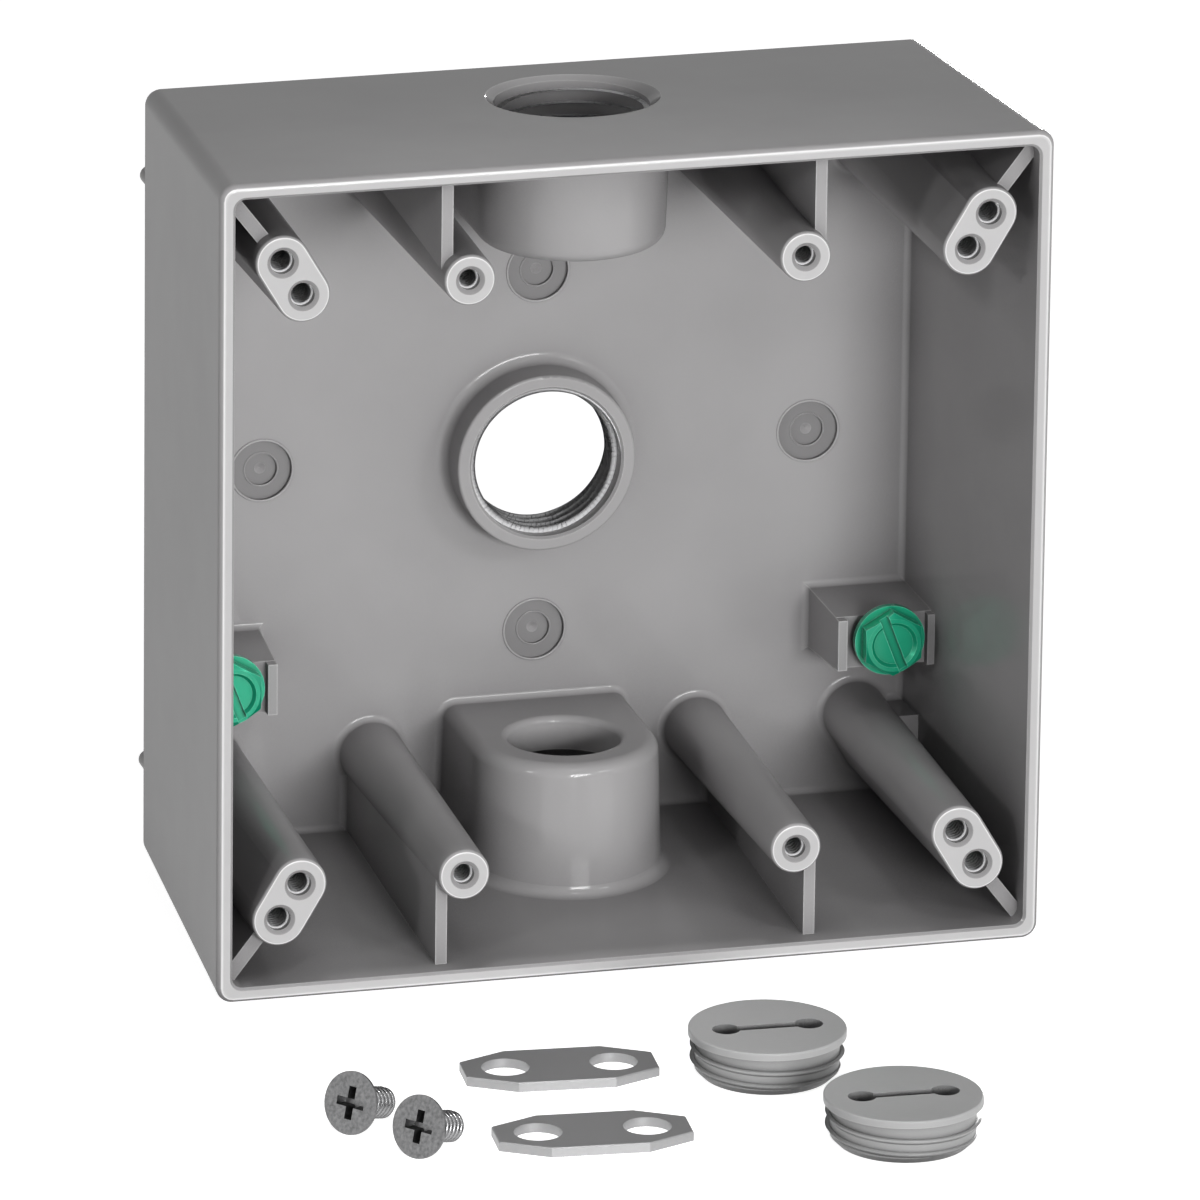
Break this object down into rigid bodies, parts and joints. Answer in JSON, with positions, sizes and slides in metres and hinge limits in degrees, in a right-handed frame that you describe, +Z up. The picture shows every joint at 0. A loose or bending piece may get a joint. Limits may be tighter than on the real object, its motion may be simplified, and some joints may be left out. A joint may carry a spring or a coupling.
{
  "type": "two-gang weatherproof outlet box",
  "caption": "Square die-cast weatherproof outlet box, open at the front, with threaded outlets, screw bosses, ground screws and its loose plugs, lugs and screws.",
  "frame": {"origin": "centre of the back outlet at the back (mounting) face, which is the middle of that face", "axes": "+Z up along the top outlet, +Y out of the back face, open front towards -Y, +X to the right as seen from the front"},
  "size_m": [0.1142, 0.1359, 0.1143],
  "materials": {
    "casting_grey": "satin",
    "ground_green": "gloss",
    "plug_grey": "satin",
    "lug_steel": "satin",
    "screw_zinc": "gloss"
  },
  "bodies": {
    "box": {"box_casting": "casting_grey", "closure_plug_1": "plug_grey", "closure_plug_2": "plug_grey", "mounting_lug_1": "lug_steel", "mounting_lug_2": "lug_steel", "lug_screw_1": "screw_zinc", "lug_screw_2": "screw_zinc"},
    "left_screw": {"ground_screw_left": "ground_green"},
    "right_screw": {"ground_screw_right": "ground_green"}
  },
  "joints": [
    {"name": "left_screw_travel", "type": "slide", "parent": "box", "child": "left_screw", "axis": [0, -1, 0], "range_m": [-0.0016, 0.004]},
    {"name": "right_screw_travel", "type": "slide", "parent": "box", "child": "right_screw", "axis": [0, -1, 0], "range_m": [-0.0016, 0.004]}
  ]
}
